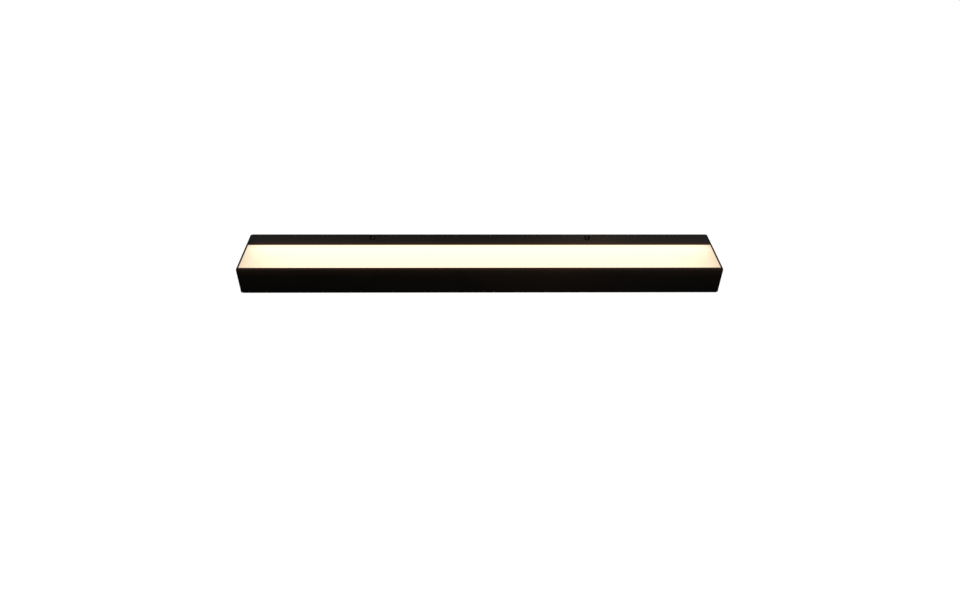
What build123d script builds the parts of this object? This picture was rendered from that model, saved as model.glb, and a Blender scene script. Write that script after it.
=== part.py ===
from build123d import *
import os

# A wall-mounted light bar. X runs along the bar, +Y points at the wall and +Z is up. The wall
# is the plane Y 0, the bar is centred on X 0, and Z 0 is halfway up it. Lengths are millimetres,
# and a screw, bore or lead is given by its radius.

# The closed bar
LENGTH = 600.0
DEPTH = 80.0
HEIGHT = 36.0
END_PLATE = 1.5
END_GASKET = 0.5
GASKET_INSET = 0.4
PLATE_CORNER = 1.6
PLATE_CHAMFER = 0.35
EDGE_BREAK = 0.4

# The housing's section
FRONT_WALL = 1.7
FLOOR = 2.0
STRIP = 2.0
DIVIDER = 1.8
FRONT_LIP = 3.0
REAR_LIP = 1.2
OPENING = 52.0
LIP_THICKNESS = 1.4
LEDGE = 1.8
LEDGE_THICKNESS = 1.5
LEDGE_DROP = 3.0
PORT_BORE = 1.4
PORT_RADIUS = 2.9
PORT_INSET = 2.6
PORT_SLIT = 1.2
RIB_HEIGHT = 4.8
RIB_DEPTH = 6.5
RIB_GROOVE = 2.2
RIB_GROOVE_DEPTH = 6.0

# The light engine
DIFFUSER = 2.5
DIFFUSER_TONGUE = 1.1
SIDE_PLAY = 0.1
SEAL = 0.4
SHEET = 0.6
SHEET_BEND = 1.2
SHEET_SLOPE = (8.0, 9.7)
TAPE = 0.25
BOARD = 1.5
BOARD_HEIGHT = 13.0
BOARD_Z = -2.5
BOARD_START = 3.5
BOARD_LENGTH = 284.0
BOARD_SCREW_X = (13.5, 145.5, 277.5)
CHIP_PITCH = 12.0
CHIPS_PER_BOARD = 24
CHIP = (3.5, 0.7, 2.8)
CONNECTOR_HEIGHT = 3.4
SUPPLY_CONNECTOR = (9.5, 18.5)
SUPPLY_CONNECTOR_DEPTH = 3.5
LINK_CONNECTOR = (-7.0, 7.0)
LINK_CONNECTOR_DEPTH = 2.5
LEAD_RADIUS = 0.7
LEAD_PITCH = 2.0
GROMMET_Z = 7.6
GROMMET_HOLE = 2.6
GROMMET_BORE = 1.85
GROMMET_FLANGE = 3.4
GROMMET_FLANGE_THICKNESS = 0.8

# The wall bracket, the bushing and the rear covers
BRACKET_LENGTH = 300.0
BRACKET_SHEET = 1.5
BRACKET_LOW = -15.5
BRACKET_HIGH = 13.4
BRACKET_CORNER = 2.0
FOLD_RADIUS = 0.7
TAB_X = 140.0
TAB_WIDTH = 20.0
TAB_REACH = 15.0
TAB_TOP = 15.9
FIXING_Y = -9.0
NUT_RADIUS = 4.0
NUT_HEIGHT = 3.0
SLOT_X = 100.0
SLOT_LENGTH = 10.0
SLOT_WIDTH = 5.0
BOX_HOLE_X = 30.0
CABLE_HOLE = 8.5
CABLE_BORE = 4.5
BUSHING_REAR = 0.2
BUSHING_FLANGE = 2.2
BUSHING_CHAMFER = (0.8, 0.6)
COVER_GAP = 1.0
COVER_FLANGE = 8.0
COVER_SCREW_X = (162.0, 224.0, 288.0)

# Screws: thread, clearance hole, head, head height and recess
M4 = 2.0
M4_CLEARANCE = 2.25
M4_HEAD = 4.0
M4_HEAD_HEIGHT = 2.6
M4_RECESS = 2.0
M3 = 1.5
M3_CLEARANCE = 1.7
M3_HEAD = 2.8
M3_HEAD_HEIGHT = 2.0
M3_RECESS = 1.4
THREAD_TIP = 0.4
FIXING_LENGTH = 8.0
END_SCREW_HEAD = 2.75
END_SCREW_CLEARANCE = 1.6
END_SCREW_LENGTH = 12.0
END_SCREW_RECESS = 1.3
COVER_SCREW_HEAD = 2.35
COVER_SCREW_CLEARANCE = 1.3
COVER_SCREW_LENGTH = 6.5
COVER_SCREW_RECESS = 1.1
RECESS_DEPTH = 1.0
TIP_LENGTH = 1.5
SCREW_SHORT = 0.1

# The driver
DRIVER_START = 160.0
DRIVER_LENGTH = 116.0
DRIVER_HALF_HEIGHT = 9.7
DRIVER_DEPTH = 16.1
DRIVER_WALL = 1.2
LID = 1.4
LID_RIM = 1.0
LID_CHAMFER = 0.3
EAR_LENGTH = 8.5
EAR_HALF_WIDTH = 5.0
EAR_THICKNESS = 2.0
EAR_SCREW_OFFSET = 5.0
POST_RADIUS = 1.5
POST_HEIGHT = 1.4
POST_INSET = 5.0
POST_Z = 6.5
DRIVER_BOARD = 1.6
DRIVER_BOARD_GAP = 1.0
DRIVER_BOARD_HALF_WIDTH = 8.0
TRANSFORMER_PLACE = 62.0
CORE_HALF_LENGTH = 8.0
CORE_HALF_WIDTH = 6.5
CORE_HEIGHT = 10.0
CORE_WINDOW = 5.0
CORE_LEG = 3.0
COIL_GAP = 0.1
MAINS_LEAD_DEPTH = 6.4
LED_LEAD_DEPTH = 7.6

# The terminal block and the earth point
BLOCK_X = 54.0
BLOCK_LENGTH = 20.0
BLOCK_DEPTH = 12.0
BLOCK_SEAT = 2.0
BLOCK_Z = -0.45
POLE_PITCH = 6.5
CLAMP_LENGTH = 14.0
CLAMP_SIDE = 4.4
CLAMP_PLAY = 0.2
CLAMP_BORE = 1.3
CLAMP_SCREW = 1.25
CLAMP_SCREW_HEAD = 1.8
CLAMP_SCREW_HEAD_HEIGHT = 1.6
CLAMP_SCREW_REACH = 1.0
CLAMP_SCREW_X = 4.0
CLAMP_SCREW_WELL = 2.0
SCREW_SLOT = (5.0, 0.6, 0.8)
BLOCK_SCREW_HEAD = 1.9
BLOCK_SCREW_HEAD_HEIGHT = 1.6
BLOCK_SCREW_RECESS = 1.0
EARTH_X = 122.0
EARTH_Z = 5.0
EARTH_SHEET = 0.8
WASHER_RADIUS = 3.6
WASHER_TEETH = 12
TOOTH = (0.9, 0.7)
RING_RADIUS = 3.9
RING_NECK = (6.5, 3.0)
BARREL_RADIUS = 1.35
BARREL_START = 6.0
BARREL_LENGTH = 5.0
BARREL_DEPTH = 4.0

# Planes and levels that follow from them
top_z = HEIGHT / 2
bottom_z = -HEIGHT / 2
floor_z = bottom_z + FLOOR
ceiling_z = top_z - STRIP
front_y = -DEPTH
front_inner_y = front_y + FRONT_WALL
opening_front_y = front_y + FRONT_LIP
opening_rear_y = opening_front_y + OPENING
divider_front_y = opening_rear_y + REAR_LIP
divider_rear_y = divider_front_y + DIVIDER
ledge_top_z = top_z - LEDGE_DROP
diffuser_low_z = ledge_top_z + SEAL
board_front_y = divider_front_y - TAPE - BOARD
inner_half = LENGTH / 2 - END_PLATE
housing_half = inner_half - END_GASKET
chamber_port = (front_inner_y + PORT_INSET, floor_z + PORT_INSET)
strip_port = (divider_rear_y + PORT_INSET, ceiling_z - PORT_INSET)
floor_port = (divider_rear_y + PORT_INSET, floor_z + PORT_INSET)
ports = [chamber_port, strip_port, floor_port]
port_slit_turns = [45, -45, 45]
groove_z = floor_z + RIB_HEIGHT / 2
board_screw_spots = [side * x for side in (-1, 1) for x in BOARD_SCREW_X]
driver_end = DRIVER_START + DRIVER_LENGTH
ear_screw_spots = [DRIVER_START - EAR_SCREW_OFFSET, driver_end + EAR_SCREW_OFFSET]
pole_levels = [BLOCK_Z + step * POLE_PITCH for step in (-1, 0, 1)]
clamp_y = divider_rear_y + BLOCK_DEPTH / 2
rear_face = Plane.XZ.offset(-divider_rear_y)

os.makedirs("parts", exist_ok=True)


def finish(builder, name):
    """Label a finished piece and write it to its own file."""
    builder.part.label = name
    export_step(builder.part, f"parts/{name}.step")


def span(low, high, mode=Mode.ADD):
    """A rectangle between two opposite corners, in the sketch's own axes."""
    with Locations(((low[0] + high[0]) / 2, (low[1] + high[1]) / 2)):
        Rectangle(high[0] - low[0], high[1] - low[1], mode=mode)


def block(low, high, mode=Mode.ADD):
    """A box between two opposite corners."""
    with Locations(tuple((a + b) / 2 for a, b in zip(low, high))):
        Box(*[b - a for a, b in zip(low, high)], mode=mode)


def pan_screw(thread, length, head, head_height, recess):
    """A pan-head screw with a cross recess: its seat is on Z 0 and its thread runs down."""
    rim = head_height * 0.3
    with BuildPart() as screw:
        with BuildSketch(Plane.XZ):
            with BuildLine():
                Polyline((0, head_height), (0, -length), (thread - THREAD_TIP, -length))
                Polyline((thread - THREAD_TIP, -length), (thread, THREAD_TIP - length))
                Polyline((thread, THREAD_TIP - length), (thread, 0), (head, 0), (head, rim))
                EllipticalCenterArc((0, rim), head, head_height - rim, arc_size=90)
            make_face()
        revolve(axis=Axis.Z)
        with BuildSketch(Plane.XY.offset(head_height)):
            Rectangle(recess * 2, recess * 0.5)
            Rectangle(recess * 0.5, recess * 2)
        extrude(amount=-head_height * 0.6, mode=Mode.SUBTRACT)
    return screw.part


def countersunk_screw(thread, length, head, recess):
    """A countersunk screw with a cross recess: its flat head is on Z 0, its thread below."""
    with BuildPart() as screw:
        with BuildSketch(Plane.XZ):
            with BuildLine():
                Polyline(
                    (0, 0),
                    (head, 0),
                    (thread, thread - head),
                    (thread, TIP_LENGTH - length),
                    (0, -length),
                    close=True,
                )
            make_face()
        revolve(axis=Axis.Z)
        with BuildSketch():
            Rectangle(recess * 2, recess * 0.5)
            Rectangle(recess * 0.5, recess * 2)
        extrude(amount=-RECESS_DEPTH, mode=Mode.SUBTRACT)
    return screw.part


def lead(points, radii):
    """An insulated lead along straight runs joined by tangent arcs."""
    with BuildPart() as wire:
        with BuildLine() as route:
            FilletPolyline(*points, radius=radii)
        with BuildSketch(Plane(origin=route.line @ 0, z_dir=route.line % 0)):
            Circle(LEAD_RADIUS)
        sweep()
    return wire


def facing_wall(x, y, z):
    """A plane at a point whose Z axis points at the wall."""
    return Plane((x, y, z), x_dir=(1, 0, 0), z_dir=(0, 1, 0))


# Housing: one extrusion with a front wall, a floor, a divider and the strip next to the wall.
# The lips and ledges hold the diffuser, the split ports take the end screws, and the grooved
# rib along the floor takes the rear covers' screws.
with BuildPart() as housing:
    with BuildSketch(Plane.YZ):
        span((front_y, bottom_z), (front_inner_y, top_z))
        span((front_y, bottom_z), (0, floor_z))
        span((divider_front_y, bottom_z), (divider_rear_y, top_z))
        span((divider_front_y, ceiling_z), (0, top_z))
        span((front_y, top_z - LIP_THICKNESS), (opening_front_y, top_z))
        span((opening_rear_y, top_z - LIP_THICKNESS), (divider_rear_y, top_z))
        span((front_y, ledge_top_z - LEDGE_THICKNESS), (front_inner_y + LEDGE, ledge_top_z))
        span((divider_front_y - LEDGE, ledge_top_z - LEDGE_THICKNESS), (divider_rear_y, ledge_top_z))
        span((-BRACKET_SHEET - RIB_DEPTH, bottom_z), (-BRACKET_SHEET, floor_z + RIB_HEIGHT))
        with Locations(*ports):
            Circle(PORT_RADIUS)
            Circle(PORT_BORE, mode=Mode.SUBTRACT)
        for port, turn in zip(ports, port_slit_turns):
            with Locations(port):
                Rectangle(
                    PORT_RADIUS + SIDE_PLAY,
                    PORT_SLIT,
                    rotation=turn,
                    align=(Align.MIN, Align.CENTER),
                    mode=Mode.SUBTRACT,
                )
        span(
            (-BRACKET_SHEET - RIB_GROOVE_DEPTH, groove_z - RIB_GROOVE / 2),
            (-BRACKET_SHEET, groove_z + RIB_GROOVE / 2),
            mode=Mode.SUBTRACT,
        )
    extrude(amount=housing_half, both=True)
    outer_edges = (
        housing.edges()
        .filter_by(Axis.X)
        .filter_by(lambda e: abs(abs(e.center().Z) - top_z) < 0.01)
        .filter_by(lambda e: min(abs(e.center().Y), abs(e.center().Y - front_y)) < 0.01)
    )
    fillet(outer_edges, EDGE_BREAK)
    with BuildSketch(rear_face):
        with Locations(*[(x, BOARD_Z) for x in board_screw_spots]):
            Circle(M3)
        with Locations(*[(x, 0) for x in ear_screw_spots], (BLOCK_X, BLOCK_Z - POLE_PITCH / 2)):
            Circle(M3)
        with Locations((EARTH_X, EARTH_Z)):
            Circle(M4)
        with Locations((0, GROMMET_Z)):
            Circle(GROMMET_HOLE)
    extrude(amount=DIVIDER, mode=Mode.SUBTRACT)
    with Locations((-TAB_X, FIXING_Y, top_z), (TAB_X, FIXING_Y, top_z)):
        Hole(M4_CLEARANCE, depth=STRIP)
finish(housing, "housing")

# Diffuser: an opal panel just below the top face, with a tongue under each lip.
with BuildPart() as diffuser:
    with BuildSketch(Plane.YZ):
        span(
            (opening_front_y + SIDE_PLAY, diffuser_low_z),
            (opening_rear_y - SIDE_PLAY, diffuser_low_z + DIFFUSER),
        )
        span(
            (front_inner_y + SIDE_PLAY, diffuser_low_z),
            (divider_front_y - SIDE_PLAY, diffuser_low_z + DIFFUSER_TONGUE),
        )
    extrude(amount=housing_half, both=True)
    upper_edges = diffuser.edges().filter_by(Axis.X).group_by(Axis.Z)[-1]
    chamfer(upper_edges, SIDE_PLAY * 2)
finish(diffuser, "diffuser")

# Diffuser seals: a soft strip on each ledge.
seal_inset = SIDE_PLAY * 2
with BuildPart() as diffuser_seals:
    with BuildSketch(Plane.YZ):
        for ledge_start_y in (front_inner_y, divider_front_y - LEDGE):
            span(
                (ledge_start_y + seal_inset, ledge_top_z),
                (ledge_start_y + LEDGE - seal_inset, diffuser_low_z),
            )
    extrude(amount=housing_half - END_GASKET, both=True)
finish(diffuser_seals, "diffuser_seals")

# Reflector: a white sheet folded under the boards, along the floor and up the front, with an
# upright flap at each end.
sheet_rear_y = divider_front_y - 0.4
sheet_front_y = front_inner_y + 0.8
sheet_floor_z = floor_z + 0.3
sheet_top_z = ledge_top_z - LEDGE_THICKNESS - 0.2
flap_x = housing_half - 1.0
reflector_route = [
    (sheet_rear_y, BOARD_Z - BOARD_HEIGHT / 2 - 0.8),
    (sheet_rear_y, sheet_floor_z),
    (sheet_front_y + SHEET_SLOPE[0], sheet_floor_z),
    (sheet_front_y, sheet_floor_z + SHEET_SLOPE[1]),
    (sheet_front_y, sheet_top_z),
]
with BuildPart() as reflector:
    with BuildSketch(Plane.YZ):
        with BuildLine():
            FilletPolyline(*reflector_route, radius=SHEET_BEND)
            offset(amount=SHEET, side=Side.RIGHT)
        make_face()
    extrude(amount=flap_x, both=True)
    for side in (-1, 1):
        with BuildSketch(Plane.YZ.offset(side * flap_x)):
            with BuildLine():
                Polyline(*reflector_route, (sheet_rear_y, sheet_top_z), close=True)
            make_face()
        extrude(amount=-side * SHEET)
finish(reflector, "reflector")

# LED boards: two aluminium-core strips on the divider's front, facing into the light chamber.
board_centre = BOARD_START + BOARD_LENGTH / 2
with BuildPart() as led_board_right:
    with BuildSketch(Plane.XZ.offset(-divider_front_y + TAPE)):
        with Locations((board_centre, BOARD_Z)):
            RectangleRounded(BOARD_LENGTH, BOARD_HEIGHT, 1.0)
        with Locations(*[(x, BOARD_Z) for x in BOARD_SCREW_X]):
            Circle(M3_CLEARANCE, mode=Mode.SUBTRACT)
    extrude(amount=BOARD)
finish(led_board_right, "led_board_right")

with BuildPart() as led_board_left:
    mirror(led_board_right.part, about=Plane.YZ)
finish(led_board_left, "led_board_left")

# Thermal tapes: one behind each board.
with BuildPart() as thermal_tapes:
    with BuildSketch(Plane.XZ.offset(-divider_front_y)):
        with Locations((-board_centre, BOARD_Z), (board_centre, BOARD_Z)):
            Rectangle(BOARD_LENGTH - 1, BOARD_HEIGHT - 1)
        with Locations(*[(x, BOARD_Z) for x in board_screw_spots]):
            Circle(M3_CLEARANCE, mode=Mode.SUBTRACT)
    extrude(amount=TAPE)
finish(thermal_tapes, "thermal_tapes")

# LED chips: a row of small lamps at an even pitch along each board.
first_chip = board_centre - CHIP_PITCH * (CHIPS_PER_BOARD - 1) / 2
with BuildPart() as led_chips:
    for side in (-1, 1):
        for number in range(CHIPS_PER_BOARD):
            chip_x = side * (first_chip + number * CHIP_PITCH)
            with Locations((chip_x, board_front_y - CHIP[1] / 2, BOARD_Z)):
                Box(*CHIP)
finish(led_chips, "led_chips")

# Board connectors: the supply connector, and the link that joins the two boards.
connector_high_z = BOARD_Z + BOARD_HEIGHT / 2
connector_low_z = connector_high_z - CONNECTOR_HEIGHT
with BuildPart() as board_connectors:
    for (start, end), depth in (
        (SUPPLY_CONNECTOR, SUPPLY_CONNECTOR_DEPTH),
        (LINK_CONNECTOR, LINK_CONNECTOR_DEPTH),
    ):
        block((start, board_front_y - depth, connector_low_z), (end, board_front_y, connector_high_z))
    chamfer(board_connectors.faces().group_by(Axis.Y)[0].edges(), 0.3)
finish(board_connectors, "board_connectors")

# Board screws: pan heads on the boards, threads in the divider.
board_screw = pan_screw(M3, BOARD + TAPE + DIVIDER - SCREW_SHORT, M3_HEAD, M3_HEAD_HEIGHT, M3_RECESS)
with BuildPart() as board_screws:
    for x in board_screw_spots:
        with Locations(Plane((x, board_front_y, BOARD_Z), x_dir=(1, 0, 0), z_dir=(0, -1, 0))):
            add(board_screw)
finish(board_screws, "board_screws")

# Lead grommet: a soft ring in the divider that the two LED leads pass through.
grommet_front_y = divider_front_y - GROMMET_FLANGE_THICKNESS
grommet_rear_y = divider_rear_y + GROMMET_FLANGE_THICKNESS
with BuildPart() as lead_grommet:
    with BuildSketch(Plane.XY):
        with BuildLine():
            Polyline(
                (GROMMET_BORE, grommet_front_y),
                (GROMMET_FLANGE, grommet_front_y),
                (GROMMET_FLANGE, divider_front_y),
                (GROMMET_HOLE, divider_front_y),
                (GROMMET_HOLE, divider_rear_y),
                (GROMMET_FLANGE, divider_rear_y),
                (GROMMET_FLANGE, grommet_rear_y),
                (GROMMET_BORE, grommet_rear_y),
                close=True,
            )
        make_face()
    revolve(axis=Axis.Y)
lead_grommet.part.position = (0, 0, GROMMET_Z)
finish(lead_grommet, "lead_grommet")

# End plates: flat plates screwed to the ports, flush with the housing all round.
port_planes = [Plane((LENGTH / 2, y, z), x_dir=(0, 1, 0), z_dir=(1, 0, 0)) for y, z in ports]
with BuildPart() as end_plate_right:
    with BuildSketch(Plane.YZ.offset(inner_half)):
        with Locations((-DEPTH / 2, 0)):
            RectangleRounded(DEPTH, HEIGHT, PLATE_CORNER)
    extrude(amount=END_PLATE)
    chamfer(end_plate_right.faces().sort_by(Axis.X)[-1].edges(), PLATE_CHAMFER)
    with Locations(*port_planes):
        CounterSinkHole(END_SCREW_CLEARANCE, END_SCREW_HEAD, depth=END_PLATE, counter_sink_angle=90)
finish(end_plate_right, "end_plate_right")

with BuildPart() as end_plate_left:
    mirror(end_plate_right.part, about=Plane.YZ)
finish(end_plate_left, "end_plate_left")

# End gaskets: soft sheets between the housing's cut ends and the plates.
with BuildPart() as end_gasket_right:
    with BuildSketch(Plane.YZ.offset(housing_half)):
        with Locations((-DEPTH / 2, 0)):
            RectangleRounded(DEPTH - GASKET_INSET * 2, HEIGHT - GASKET_INSET * 2, PLATE_CORNER)
        with Locations(*ports):
            Circle(END_SCREW_CLEARANCE, mode=Mode.SUBTRACT)
    extrude(amount=END_GASKET)
finish(end_gasket_right, "end_gasket_right")

with BuildPart() as end_gasket_left:
    mirror(end_gasket_right.part, about=Plane.YZ)
finish(end_gasket_left, "end_gasket_left")

# End screws: countersunk, three at each end.
end_screw = countersunk_screw(PORT_BORE, END_SCREW_LENGTH, END_SCREW_HEAD, END_SCREW_RECESS)
with BuildPart() as end_screws_right:
    with Locations(*port_planes):
        add(end_screw)
finish(end_screws_right, "end_screws_right")

with BuildPart() as end_screws_left:
    mirror(end_screws_right.part, about=Plane.YZ)
finish(end_screws_left, "end_screws_left")

# Wall bracket: a steel plate flat on the wall, with a folded tab near each end that reaches
# under the strip.
with BuildPart() as wall_bracket:
    with BuildSketch(Plane.XZ):
        span((-BRACKET_LENGTH / 2, BRACKET_LOW), (BRACKET_LENGTH / 2, BRACKET_HIGH))
        with Locations((-SLOT_X, 0), (SLOT_X, 0)):
            SlotOverall(SLOT_LENGTH, SLOT_WIDTH, mode=Mode.SUBTRACT)
        with Locations((-BOX_HOLE_X, 0), (BOX_HOLE_X, 0)):
            Circle(M4_CLEARANCE, mode=Mode.SUBTRACT)
        Circle(CABLE_HOLE, mode=Mode.SUBTRACT)
    extrude(amount=BRACKET_SHEET)
    upright_edges = wall_bracket.edges().filter_by(Axis.Y).group_by(Axis.X)
    fillet(upright_edges[0] + upright_edges[-1], BRACKET_CORNER)
    for side in (-1, 1):
        with BuildSketch(Plane.YZ.offset(side * TAB_X)) as fold:
            with BuildLine():
                Polyline(
                    (0, 0),
                    (0, TAB_TOP),
                    (-TAB_REACH, TAB_TOP),
                    (-TAB_REACH, TAB_TOP - BRACKET_SHEET),
                    (-BRACKET_SHEET, TAB_TOP - BRACKET_SHEET),
                    (-BRACKET_SHEET, 0),
                    close=True,
                )
            make_face()
            corners = fold.vertices().group_by(Axis.Y)
            fillet(corners[-1].sort_by(Axis.X)[-1], BRACKET_SHEET + FOLD_RADIUS)
            fillet(corners[-2].sort_by(Axis.X)[-1], FOLD_RADIUS)
        extrude(amount=TAB_WIDTH / 2, both=True)
    with Locations((-TAB_X, FIXING_Y, TAB_TOP), (TAB_X, FIXING_Y, TAB_TOP)):
        Hole(M4_CLEARANCE, depth=BRACKET_SHEET)
finish(wall_bracket, "wall_bracket")

# Bracket nuts: hexagon nuts fixed under the tabs.
with BuildPart() as bracket_nuts:
    with BuildSketch(Plane.XY.offset(TAB_TOP - BRACKET_SHEET)):
        with Locations((-TAB_X, FIXING_Y), (TAB_X, FIXING_Y)):
            RegularPolygon(NUT_RADIUS, 6)
            Circle(M4, mode=Mode.SUBTRACT)
    extrude(amount=-NUT_HEIGHT)
finish(bracket_nuts, "bracket_nuts")

# Fixing screws: through the strip and the tabs into the nuts. They hold the bar on the wall.
fixing_screw = pan_screw(M4, FIXING_LENGTH, M4_HEAD, M4_HEAD_HEIGHT, M4_RECESS)
with BuildPart() as fixing_screws:
    with Locations((-TAB_X, FIXING_Y, top_z), (TAB_X, FIXING_Y, top_z)):
        add(fixing_screw)
finish(fixing_screws, "fixing_screws")

# Cable bushing: a flanged ring in the bracket's middle hole, for the mains cable.
flange_radius = CABLE_HOLE + BUSHING_FLANGE
flange_front_y = -BRACKET_SHEET - BUSHING_FLANGE
with BuildPart() as cable_bushing:
    with BuildSketch(Plane.XY):
        with BuildLine():
            Polyline(
                (CABLE_BORE, -BUSHING_REAR),
                (CABLE_HOLE, -BUSHING_REAR),
                (CABLE_HOLE, -BRACKET_SHEET),
                (flange_radius, -BRACKET_SHEET),
                (flange_radius, flange_front_y + BUSHING_CHAMFER[1]),
                (flange_radius - BUSHING_CHAMFER[0], flange_front_y),
                (CABLE_BORE, flange_front_y),
                close=True,
            )
        make_face()
    revolve(axis=Axis.Y)
finish(cable_bushing, "cable_bushing")

# Driver case: an open box on the divider's rear face, with a screw ear at each end and a
# lead hole for each of the four leads.
case_rear_y = divider_rear_y + DRIVER_DEPTH
case_low = (DRIVER_START, divider_rear_y, -DRIVER_HALF_HEIGHT)
case_high = (driver_end, case_rear_y, DRIVER_HALF_HEIGHT)
post_spots = [(x, z) for x in (DRIVER_START + POST_INSET, driver_end - POST_INSET) for z in (-POST_Z, POST_Z)]
mains_lead_y = divider_rear_y + MAINS_LEAD_DEPTH
led_lead_y = divider_rear_y + LED_LEAD_DEPTH
live_hole = (mains_lead_y, -4.0)
neutral_hole = (mains_lead_y, 1.4)
led_plus_hole = (led_lead_y, 4.4)
led_minus_hole = (led_lead_y, 7.0)
with BuildPart() as driver_case:
    block(case_low, case_high)
    offset(amount=-DRIVER_WALL, openings=driver_case.faces().sort_by(Axis.Y)[-1])
    with BuildSketch(rear_face.offset(-DRIVER_WALL)):
        with Locations(*post_spots):
            Circle(POST_RADIUS)
    extrude(amount=-POST_HEIGHT)
    with BuildSketch(rear_face):
        span((DRIVER_START - EAR_LENGTH, -EAR_HALF_WIDTH), (DRIVER_START, EAR_HALF_WIDTH))
        span((driver_end, -EAR_HALF_WIDTH), (driver_end + EAR_LENGTH, EAR_HALF_WIDTH))
        with Locations(*[(x, 0) for x in ear_screw_spots]):
            Circle(M3_CLEARANCE, mode=Mode.SUBTRACT)
    extrude(amount=-EAR_THICKNESS)
    with BuildSketch(Plane.YZ.offset(DRIVER_START)):
        with Locations(live_hole, neutral_hole, led_plus_hole, led_minus_hole):
            Circle(LEAD_RADIUS + SIDE_PLAY)
    extrude(amount=DRIVER_WALL, mode=Mode.SUBTRACT)
finish(driver_case, "driver_case")

# Driver lid: a flat cover with a shallow rim inside the case's walls.
rim_inset = DRIVER_WALL + SIDE_PLAY
rim_inner = rim_inset + LID_RIM
with BuildPart() as driver_lid:
    block(
        (DRIVER_START, case_rear_y, -DRIVER_HALF_HEIGHT),
        (driver_end, case_rear_y + LID, DRIVER_HALF_HEIGHT),
    )
    with BuildSketch(Plane.XZ.offset(-case_rear_y)):
        span(
            (DRIVER_START + rim_inset, rim_inset - DRIVER_HALF_HEIGHT),
            (driver_end - rim_inset, DRIVER_HALF_HEIGHT - rim_inset),
        )
        span(
            (DRIVER_START + rim_inner, rim_inner - DRIVER_HALF_HEIGHT),
            (driver_end - rim_inner, DRIVER_HALF_HEIGHT - rim_inner),
            mode=Mode.SUBTRACT,
        )
    extrude(amount=LID_RIM)
    chamfer(driver_lid.faces().sort_by(Axis.Y)[-1].edges(), LID_CHAMFER)
finish(driver_lid, "driver_lid")

# Driver board: a circuit board on the case's four posts.
board_inset = DRIVER_WALL + DRIVER_BOARD_GAP
driver_board_y = divider_rear_y + DRIVER_WALL + POST_HEIGHT
parts_y = driver_board_y + DRIVER_BOARD
with BuildPart() as driver_board:
    block(
        (DRIVER_START + board_inset, driver_board_y, -DRIVER_BOARD_HALF_WIDTH),
        (driver_end - board_inset, parts_y, DRIVER_BOARD_HALF_WIDTH),
    )
finish(driver_board, "driver_board")

# Driver transformer: a ferrite core with a wound bobbin in its two windows.
transformer_x = DRIVER_START + TRANSFORMER_PLACE
core_top_y = parts_y + CORE_HEIGHT
coil_half = CORE_WINDOW - COIL_GAP
with BuildPart() as driver_transformer:
    block(
        (transformer_x - CORE_HALF_LENGTH, parts_y, -CORE_HALF_WIDTH),
        (transformer_x + CORE_HALF_LENGTH, core_top_y, CORE_HALF_WIDTH),
    )
    for low_z, high_z in ((-CORE_HALF_WIDTH, -CORE_LEG), (CORE_LEG, CORE_HALF_WIDTH)):
        block(
            (transformer_x - CORE_WINDOW, parts_y, low_z),
            (transformer_x + CORE_WINDOW, core_top_y, high_z),
            mode=Mode.SUBTRACT,
        )
    coil_inner = CORE_LEG + COIL_GAP / 2
    for low_z, high_z in ((-CORE_HALF_WIDTH, -coil_inner), (coil_inner, CORE_HALF_WIDTH)):
        block(
            (transformer_x - coil_half, parts_y + 1, low_z),
            (transformer_x + coil_half, core_top_y - 1, high_z),
        )
finish(driver_transformer, "driver_transformer")

# Driver capacitors: three cans standing on the board, by place along it, radius and height.
cans = ((24.0, 5.0, 10.5), (82.0, 4.0, 10.0), (92.0, 4.0, 10.0))
with BuildPart() as driver_capacitors:
    for place, radius, height in cans:
        with BuildSketch(Plane.XZ.offset(-parts_y)):
            with Locations((DRIVER_START + place, 0)):
                Circle(radius)
        extrude(amount=-height)
    fillet(driver_capacitors.faces().filter_by(Axis.Y).sort_by(Axis.Y)[-3:].edges(), 0.6)
finish(driver_capacitors, "driver_capacitors")

# Driver parts: the smaller parts on the board, by place along and across it, length, height
# off the board and width.
small_parts = {
    "film capacitor": (39.0, 0.0, 11.0, 9.0, 6.0),
    "bridge": (12.0, 4.0, 6.5, 3.0, 5.5),
    "switch": (12.0, -4.0, 6.5, 2.4, 6.0),
    "controller": (49.5, 4.5, 3.0, 1.6, 4.0),
    "output diode": (73.5, 3.5, 4.5, 2.3, 6.0),
    "output choke": (103.0, 0.0, 9.0, 7.0, 9.0),
}
with BuildPart() as driver_parts:
    for along, across, length, height, width in small_parts.values():
        centre = DRIVER_START + along
        block(
            (centre - length / 2, parts_y, across - width / 2),
            (centre + length / 2, parts_y + height, across + width / 2),
        )
finish(driver_parts, "driver_parts")

# Driver screws: one through each ear into the divider.
ear_screw = pan_screw(M3, EAR_THICKNESS + DIVIDER - SCREW_SHORT, M3_HEAD, M3_HEAD_HEIGHT, M3_RECESS)
with BuildPart() as driver_screws:
    with Locations(*[facing_wall(x, divider_rear_y + EAR_THICKNESS, 0) for x in ear_screw_spots]):
        add(ear_screw)
finish(driver_screws, "driver_screws")

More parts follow.
